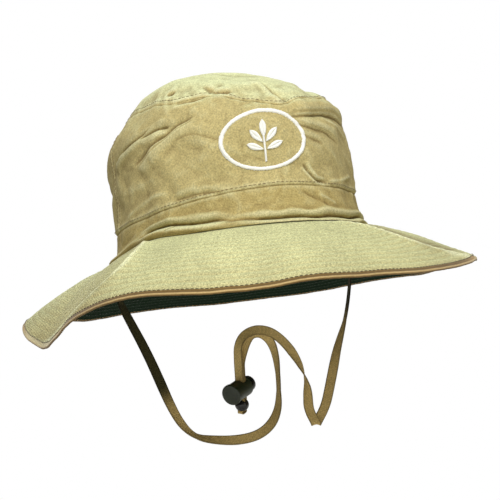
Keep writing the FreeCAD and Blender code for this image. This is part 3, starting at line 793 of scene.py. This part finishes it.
tape_cloth = woven_cloth("strap_tape", TAPE, thread=0.55, relief=0.12, twill=True, fleck=0.16, sheen=0.1,
                         brim_shadow_colour=DARK_TAPE)
tab_cloth = woven_cloth("tab_cloth", DARK_TAPE, thread=0.55, relief=0.1, twill=True)
khaki_thread = sewing_thread("khaki_thread", linear(128, 106, 60))
brim_thread = sewing_thread("brim_thread", linear(200, 197, 146))
dark_thread = sewing_thread("dark_thread", linear(74, 64, 34))
green_thread = sewing_thread("green_thread", linear(30, 50, 30))
white_thread = sewing_thread("embroidery_thread", linear(250, 250, 246), 0.4)


def place(piece, slot, *replaced):
    """Ride on the hat and stand for CAD nodes; the slot is not used."""
    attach(piece, "hat")
    if replaced:
        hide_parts(*replaced)
    return piece


# ------------------------------------------------------------------ crown, lining, sweatband
def above_tip_seam(gap):
    """A function of the angle: a place just above or below the tip's seam."""
    return lambda degrees: tip_seam_place(degrees) + gap


def make_crown():
    """Tip, two side panels and two band strips."""
    depths = (0.0, CLOTH_THICKNESS)
    place(crown_panel("tip_cloth_panel", -180, 180, above_tip_seam(SEAM_GAP), NEAR_TIP_MIDDLE, depths,
                      tip_cloth, 400, 52, wrap=True, flat=True), "crown_cloth", "tip_panel")
    for name, seam in (("front", -90), ("back", 90)):
        sides = seam + CROWN_SIDE_GAP, seam + 180 - CROWN_SIDE_GAP
        place(crown_panel(f"crown_{name}_cloth", *sides, BAND_SEAM + SEAM_GAP, above_tip_seam(-SEAM_GAP),
                          depths, crown_cloth, 300, 84), "crown_cloth", f"crown_{name}_panel")
        place(crown_panel(f"band_{name}_cloth", *sides, 0.0, BAND_SEAM - SEAM_GAP, depths, lower_cloth,
                          300, 30), "crown_cloth", "band_" + name)


def make_lining():
    """Inside of the crown; the lining's seam lies below the cloth's."""
    place(crown_panel("tip_lining_cloth", -180, 180, above_tip_seam(-0.31), NEAR_TIP_MIDDLE, LINING_DEPTH,
                      lining_cloth, 200, 30, wrap=True, flat=True), "lining_cloth", "tip_lining")
    place(crown_panel("side_lining_cloth", -180, 180, 0.06, above_tip_seam(-0.32), LINING_DEPTH, lining_cloth,
                      300, 60, wrap=True), "lining_cloth", "crown_lining")
    for side, name in ((-90, "left"), (90, "right")):
        place(crown_panel(f"side_seam_cover_{name}", side - 3.4, side + 3.4, 5.0, 9.0, SEAM_TAPE_DEPTH,
                          band_cloth, 10, 40), "lining_cloth", "side_seam_tape_" + name)
    place(crown_panel("sweatband_strip", -180, 180, 0.05, SWEATBAND_TOP, SWEATBAND_DEPTH, band_cloth,
                      300, 26, wrap=True), "sweatband_cloth", "sweatband")


make_crown()
make_lining()


# ------------------------------------------------------------------ brim
def row_places():
    """Places across the brim, closer together at each stitch row."""
    places = [(row + k) / (STITCH_ROWS + 0.5) for row in range(STITCH_ROWS + 2)
              for k in (-0.12, 0.0, 0.12, 0.3, 0.5, 0.7)]
    return [0.0, *sorted(p for p in places if 0 < p < 0.995), 1.0]


def make_brim():
    """Two halves of three layers."""
    places = row_places()
    for half, seam in (("front", -90), ("back", 90)):
        sides = seam + BRIM_SIDE_GAP, seam + 180 - BRIM_SIDE_GAP
        for layer, part, depths, material, columns, across, slot in (
            ("top", "cloth", BRIM_TOP_DEPTH, brim_cloth, 380, places, "brim_cloth"),
            ("stiffener", "core", BRIM_STIFFENER_DEPTH, stiffener_cloth, 120, places[::3] + [1.0], "stiffener"),
            ("underside", "cloth", BRIM_UNDER_DEPTH, under_cloth, 380, places, "underside_cloth"),
        ):
            place(brim_panel(f"brim_{layer}_{half}_{part}", *sides, depths, material, columns, across),
                  slot, f"brim_{layer}_{half}")


def make_binding():
    """A folded strip round the brim's edge."""
    # Its section: (outwards from the brim's edge, up from its middle).
    section = [
        (-1.9, 1.0), (-1.85, 1.16), (-1.3, 1.2), (-0.8, 1.1), (-0.3, 1.12), (0.2, 1.08), (0.6, 0.8),
        (0.85, 0.4), (0.9, 0.0), (0.85, -0.4), (0.6, -0.8), (0.2, -1.1), (-0.3, -1.2), (-1.3, -1.26),
        (-1.85, -1.2), (-1.9, -1.02), (-1.0, -1.0), (0.06, -1.0), (0.1, 0.0), (0.06, 1.0), (-1.0, 1.0),
    ]
    # Its colour: brown along its stitches, painted shade under its turn, and paler all over at the brim's two
    # sides.
    tones_and_shade = np.array([-0.3, -0.5, -0.8, -1, -1, -1, 0.1, 0.2, 0.1, -0.8, -1, -1, -1, -0.6] + [-0.2] * 7)
    paler = np.array([0.5] * 6 + [0.3] * 3 + [-0.9] * 4 + [-0.2] * 8)
    degrees = np.linspace(-180, 180, 901)[:-1]
    sides = sum(np.exp(-(wrapped(degrees - middle) / wide) ** 4) for middle, wide in ((-94, 22), (80, 24)))
    tones_and_shade = tones_and_shade + sides[:, None] * (paler - tones_and_shade)
    grid = np.stack([brim_point(degrees, 1.0 + min(e, 0.0) / BRIM_WIDTH, BRIM_MIDDLE - h, max(e, 0.0))
                     for e, h in section], 1)
    lengths = np.cumsum([0] + [math.dist(a, b) for a, b in zip(section, section[1:])])
    weave = np.stack([*np.broadcast_arrays(np.radians(degrees)[:, None] * EDGE_RADIUS, lengths, tones_and_shade)], -1)
    quads = grid_faces(*grid.shape[:2], wrap=True, tube=True, turned=True)
    strip = link_mesh("brim_binding_strip", grid, quads, binding_cloth, weave)
    place(strip, "binding_tape", "brim_edge_binding")


make_brim()
make_binding()


# ------------------------------------------------------------------ stitches and embroidery
# A thread's shape: (share of its length, rise of its middle line, thickness).
THREAD_SHAPE = ((0.0, -0.6, 0.25), (0.12, 0.35, 0.85), (0.5, 1.0, 1.0), (0.88, 0.35, 0.85), (1.0, -0.6, 0.25))


def threads(name, rows, radius, material, bow=0.5, sides=5, flat=1.0):
    """Many short threads, each a bowed rod with blunt ends, as one piece.

    Each row holds its threads' starts, ends and outward directions.
    """
    starts, ends, lifts = (np.concatenate([row[k] for row in rows]) for k in range(3))
    along = unit(ends - starts)
    lifts = unit(lifts - np.sum(lifts * along, -1, keepdims=True) * along)
    across = np.cross(along, lifts)
    rings = []
    for share, rise, size in THREAD_SHAPE:
        middle = starts + (ends - starts) * share + lifts * rise * bow * radius
        rings.append(np.stack([middle + (across * math.cos(t) + lifts * flat * math.sin(t)) * radius * size
                               for t in 2 * math.pi * np.arange(sides) / sides], 1))
    points = np.stack(rings, 1)
    offsets = np.arange(len(starts))[:, None, None] * len(rings) * sides
    one = np.arange(len(rings) * sides).reshape(len(rings), sides)
    quads = (grid_faces(len(rings), sides, tube=True, turned=True) + offsets).reshape(-1, 4).tolist()
    caps = [(end + o).tolist() for end in (one[0, ::-1], one[-1]) for o in offsets[:, 0, 0]]
    return place(link_mesh(name, points, quads + caps, material, sharp=80.0), "embroidery_thread")


STITCH_PITCH, STITCH_LENGTH, STITCH_LIFT = 3.1, 2.2, 0.1
ALL_ROUND = np.linspace(-180, 180, 1441)


def sewn_row(line, normals):
    """Starts, ends and outward directions of a row of stitches along a line of points."""
    travelled = distances(line)
    count = int(travelled[-1] / STITCH_PITCH)
    begins = (np.arange(count) + 0.5) * travelled[-1] / count - STITCH_LENGTH / 2

    def at(distance, values):
        return np.stack([np.interp(distance, travelled, values[:, k]) for k in range(3)], -1)

    return at(begins, line), at(begins + STITCH_LENGTH, line), at(begins + STITCH_LENGTH / 2, normals)


def crown_row(degrees, places):
    """A row of stitches on the crown."""
    line = crown_point(degrees, places, -STITCH_LIFT)
    return sewn_row(line, unit(line - crown_point(degrees, places, 2.0 - STITCH_LIFT)))


def brim_row(out, depth, up):
    """A row of stitches round the brim, on its top or underside."""
    line = brim_point(ALL_ROUND, out, depth)
    return sewn_row(line, np.broadcast_to([0.0, 0.0, float(up)], line.shape))


def make_stitches():
    """Every visible row of stitching."""
    side = np.linspace(3.3, 9.7, 400)
    threads("stitching_tip", [crown_row(ALL_ROUND, tip_seam_place(ALL_ROUND) + 0.3)], 0.24, khaki_thread)
    threads("stitching_band", [crown_row(ALL_ROUND, BAND_SEAM + 0.22)], 0.24, khaki_thread)
    threads("stitching_side_seams", [crown_row(np.full(side.shape, seam + offset), side)
                                     for seam in (-90.0, 90.0) for offset in (-1.6, 1.6)], 0.24, khaki_thread)
    for name, depth, up, colour in (("top", -0.05, 1, brim_thread), ("underside", 1.95, -1, green_thread)):
        rows = [brim_row(row / (STITCH_ROWS + 0.5), depth, up) for row in range(1, STITCH_ROWS + 1)]
        inner = STITCH_ROWS // 2 + 2
        threads(f"stitching_brim_{name}_inner", rows[:inner], 0.2, colour)
        threads(f"stitching_brim_{name}_outer", rows[inner:], 0.2, colour)
    edge = 1.0 - 1.5 / BRIM_WIDTH
    rows = [brim_row(edge, BRIM_MIDDLE - 1.5, 1), brim_row(edge, BRIM_MIDDLE + 1.55, -1)]
    threads("stitching_edge", rows, 0.24, dark_thread)


BADGE_CENTRE = (-3.0, 56.0)
BADGE_HALF = (29.5, 21.0)
BADGE_LINE = 2.7
LEAF_LENGTH, LEAF_WIDTH = 11.5, 4.6
SATIN_LIFT = 0.35


def on_front(badge_points):
    """Points of the crown's front above badge coordinates, found by angle and height."""
    x, z = (badge_points + BADGE_CENTRE).T
    places = np.linspace(3, 10, 400)
    place_index = np.interp(z, profile(places)[1], places)
    turn = np.arcsin(np.clip((x + 1.8 * step_between(z, 30, 70)) / profile(place_index)[0], -1, 1))
    return crown_point(np.degrees(turn), place_index, -SATIN_LIFT)


def satin(edge_a, edge_b):
    """Starts, ends and outward directions of satin threads between two edges in badge coordinates."""
    a, b = on_front(edge_a), on_front(edge_b)
    return a, b, np.broadcast_to(np.array([0.0, -1.0, 0.05]), a.shape)


def make_embroidery():
    """An oval ring round a sprig of five leaves, in satin stitch."""
    def oval(inset, turn):
        return np.stack([(half - inset) * wave(turn) for half, wave in zip(BADGE_HALF, (np.cos, np.sin))], -1)

    count = 420
    around = np.linspace(0, 2 * np.pi, count + 1)[:-1]
    wobble = 0.12 * random.normal(size=count)
    sets = [satin(oval(-wobble, around), oval(BADGE_LINE + wobble, around + 0.02))]
    leaves = [(0.0, 1.5, 90.0)]
    for height, lean in ((-6.5, 22.0), (-1.5, 48.0)):
        leaves += [(1.2, height, lean), (-1.2, height, 180.0 - lean)]
    share = np.linspace(0.03, 0.97, 30)[:, None]
    for x, z, angle in leaves:
        forward = np.array([math.cos(math.radians(angle)), math.sin(math.radians(angle))])
        sideways = np.array([-forward[1], forward[0]])
        rib = np.array([x, z]) + forward * share * LEAF_LENGTH
        half = LEAF_WIDTH / 2 * np.sin(np.pi * share) ** 0.8
        for sign in (-1, 1):
            edge = rib + sideways * sign * half + forward * 0.10 * LEAF_LENGTH * np.sin(np.pi * share)
            sets.append(satin(rib - sideways * sign * 0.1, edge))
    stem = np.stack([np.zeros(34), np.linspace(-14.5, 3.5, 34)], -1)
    sets.append(satin(stem - [0.75, 0.2], stem + [0.75, 0.2]))
    badge = threads("embroidery", sets, 0.42, white_thread, bow=1.4, sides=6, flat=0.9)
    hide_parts("embroidered_badge")


make_stitches()
make_embroidery()


# ------------------------------------------------------------------ chin tape
def route_line(name, points):
    """Points along the smooth spline that has a route's points as its control points."""
    data = bpy.data.curves.new(name, "CURVE")
    data.dimensions = "3D"
    data.resolution_u = 10
    spline = data.splines.new("NURBS")
    spline.points.add(len(points) - 1)
    for control, point in zip(spline.points, points):
        control.co = (*(np.asarray(point) * MM), 1.0)
    spline.order_u = 3
    spline.use_endpoint_u = True
    holder = bpy.data.objects.new(name, data)
    mesh = bpy.data.meshes.new_from_object(holder)
    line = np.empty(len(mesh.vertices) * 3)
    mesh.vertices.foreach_get("co", line)
    line = line.reshape(-1, 3) / MM
    bpy.data.objects.remove(holder)
    bpy.data.curves.remove(data)
    bpy.data.meshes.remove(mesh)
    return line


TAPE_WIDTH, TAPE_THICKNESS = 7.0, 0.95


def tape(name, route, side, wides, brim_shadow_end, node):
    """One length of flat tape along its route; wides says which way its width points near some points."""
    in_lock = [LOCK_CENTRE + side * along * LOCK_ALONG + up * LOCK_UP for along, up in LOCK_ROUTE]
    points = [np.array(p) for p in route] + in_lock
    line = route_line(name, points)
    line = line[np.concatenate([[True], np.linalg.norm(np.diff(line, axis=0), axis=-1) > 1e-3])]
    travelled = distances(line)
    tangents = unit(np.gradient(line, axis=0))

    def distance_of(index):
        return travelled[int(np.argmin(np.linalg.norm(line - points[index], axis=-1)))]

    directions = [np.asarray(v, float) for _, v in wides]
    for i in range(1, len(directions)):
        if directions[i] @ directions[i - 1] < 0:
            directions[i] = -directions[i]
    keys = [distance_of(i) for i, _ in wides]
    wide = np.stack([np.interp(travelled, keys, [v[k] for v in directions]) for k in range(3)], -1)
    wide = unit(wide - np.sum(wide * tangents, -1, keepdims=True) * tangents)
    flat = np.cross(tangents, wide)
    # In the bead, the tape is squeezed together.
    end = len(route)
    squeezed = [(0, 1.0), (end, 1.0), (end + 3, 1.0), (end + 4, 0.6), (end + 6, 0.6)]
    half = np.interp(travelled, [distance_of(i) for i, _ in squeezed], [w for _, w in squeezed])
    half = half * TAPE_WIDTH / 2
    face = [(-0.97, 0.7), (-0.86, 1.0), (-0.7, 0.86), (-0.35, 0.8), (0, 0.78), (0.35, 0.8), (0.7, 0.86),
            (0.86, 1.0), (0.97, 0.7)]
    section = [(-1, 0.0), *face, (1, 0.0), *((-u, -v) for u, v in face)]
    grid = np.stack([line + wide * (half * u)[:, None] + flat * v * TAPE_THICKNESS / 2 for u, v in section], 1)
    rows, count = grid.shape[:2]
    caps = [list(range(count)), list(range(rows * count - 1, (rows - 1) * count - 1, -1))]
    # Painted shadow of the brim on the tape near the hat, fading out before its given end distance.
    dark = 1 - step_between(travelled, brim_shadow_end - 22, brim_shadow_end)
    across = [u * TAPE_WIDTH / 2 for u, _ in section]
    weave = np.stack([*np.broadcast_arrays(travelled[:, None], across, dark[:, None])], -1)
    quads = grid_faces(rows, count, tube=True).tolist()
    made = link_mesh(name, grid, quads + caps, tape_cloth, weave, sharp=60.0)
    return place(made, "strap_tape", node), line


ALONG_Y = (0.0, 1.0, 0.0)
LEFT_WIDES = [
    (0, ALONG_Y), (2, (0.25, 1.0, 0.0)), (4, (1.0, 0.35, 0.0)), (8, (1.0, -0.1, 0.2)), (10, (0.8, 0.5, 0.4)),
    (11, (0.3, 0.9, 0.6)), (12, (0.0, 0.6, 1.0)), (13, (0.0, 0.1, 1.0)), (14, (-0.2, 0.1, 1.0)),
    (15, (-0.5, 0.4, 0.8)), (16, (-0.5, 1.0, 0.4)), (17, (-0.12, 1.0, 0.0)), (18, (-0.15, 1.0, 0.0)),
    (19, (-0.45, 1.0, -0.1)), (20, (-0.6, 0.8, -0.4)), (21, (-0.4, 0.4, -0.9)), (22, (0.2, 0.2, -1.0)),
    (23, (0.8, -0.2, -0.5)), (24, tuple(-LOCK_ACROSS)), (30, tuple(-LOCK_ACROSS)),
]
RIGHT_WIDES = [
    (0, ALONG_Y), (3, (0.05, 1.0, 0.0)), (5, (0.0, 1.0, 0.0)), (7, (-0.9, 0.8, -0.3)), (8, (-1.0, 0.3, -0.4)),
    (10, (-1.0, 0.0, -0.3)), (12, (-1.0, 0.0, 0.0)), (13, (-1.0, 0.1, 0.1)), (14, (-0.9, 0.7, 0.0)),
    (15, (-0.1, 1.0, 0.1)), (16, (0.7, 0.7, 0.4)), (17, (0.85, 0.2, 0.5)), (19, (0.4, 0.2, 1.0)),
    (20, (0.0, 0.2, 1.0)), (21, (-0.5, 0.6, 0.7)), (22, (-0.6, 0.9, 0.2)), (23, tuple(LOCK_ACROSS)),
    (29, tuple(LOCK_ACROSS)),
]


def make_chin_cord():
    """Two lengths of tape and their tabs."""
    left, left_line = tape("chin_tape_left_strip", LEFT_ROUTE, 1, LEFT_WIDES, 118.0, "chin_tape_left")
    right, right_line = tape("chin_tape_right_strip", RIGHT_ROUTE, -1, RIGHT_WIDES, 70.0, "chin_tape_right")
    for side, name in ((-1, "left"), (1, "right")):
        middle = side * (90 + math.degrees(math.asin(12.0 / 103.5)))
        place(crown_panel(f"tape_tab_{name}", middle - 2.4, middle + 2.4, 0.03, 2.0, TAB_DEPTH, tab_cloth,
                          8, 10, detail=False), "strap_tape", "strap_anchor_" + name)


make_chin_cord()


def dress_fittings():
    """Better finishes on the lock's and bead's CAD parts."""
    for node, material in (
        ("cord_lock_barrel", plastic("lock_plastic", linear(30, 40, 20), 0.36)),
        ("cord_lock_plunger", plastic("button_plastic", linear(14, 14, 14), 0.25)),
        ("cord_lock_spring", steel("spring_steel")),
        ("cord_bead", plastic("bead_plastic", linear(12, 12, 12), 0.16)),
    ):
        found = bpy.data.objects[node]
        for slot in found.material_slots:
            slot.material = material
        if not found.material_slots:
            found.data.materials.append(material)


dress_fittings()


# ------------------------------------------------------------------ floor, world and lights
def make_stage():
    """A pale floor below the hat, white surroundings and soft studio lamps."""
    bpy.ops.mesh.primitive_circle_add(vertices=128, radius=1.2, fill_type="NGON", location=(0, 0, -0.24))
    floor = bpy.context.object
    floor.name = "floor"
    floor.data.materials.append(Finish("floor", (0.86, 0.86, 0.85), 0.9).material)

    world = bpy.data.worlds.new("surroundings")
    bpy.context.scene.world = world
    world.use_nodes = True
    nodes, links = world.node_tree.nodes, world.node_tree.links
    path = nodes.new("ShaderNodeLightPath")
    lit, seen = nodes["Background"], nodes.new("ShaderNodeBackground")
    lit.inputs["Color"].default_value = (1.0, 0.90, 0.74, 1)
    lit.inputs["Strength"].default_value = 0.15
    seen.inputs["Color"].default_value = (1, 1, 1, 1)
    mix = nodes.new("ShaderNodeMixShader")
    links.new(path.outputs["Is Camera Ray"], mix.inputs["Fac"])
    links.new(lit.outputs[0], mix.inputs[1])
    links.new(seen.outputs[0], mix.inputs[2])
    links.new(mix.outputs[0], nodes["World Output"].inputs["Surface"])

    for name, where, size, power, colour in (
        ("key", (-0.28, -1.3, 1.05), 0.7, 26.0, (1.0, 1.0, 0.97)),
        ("top", (0.0, -0.1, 1.8), 0.9, 9.5, (0.92, 1.0, 1.0)),
        ("fill", (0.9, -1.4, -0.05), 0.9, 1.8, (1.0, 0.93, 0.82)),
        ("back", (0.3, 1.6, 0.9), 1.2, 14.0, (1.0, 0.97, 0.9)),
    ):
        lamp = bpy.data.lights.new(name, "AREA")
        lamp.size = size
        lamp.energy = power
        lamp.color = colour
        holder = bpy.data.objects.new(name, lamp)
        holder.location = where
        holder.rotation_mode = "QUATERNION"
        holder.rotation_quaternion = (-Vector(where)).to_track_quat("-Z", "Y")
        bpy.context.scene.collection.objects.link(holder)
    bpy.context.scene.view_settings.view_transform = "Standard"
    bpy.context.scene.view_settings.look = "None"


make_stage()

bpy.context.view_layer.update()
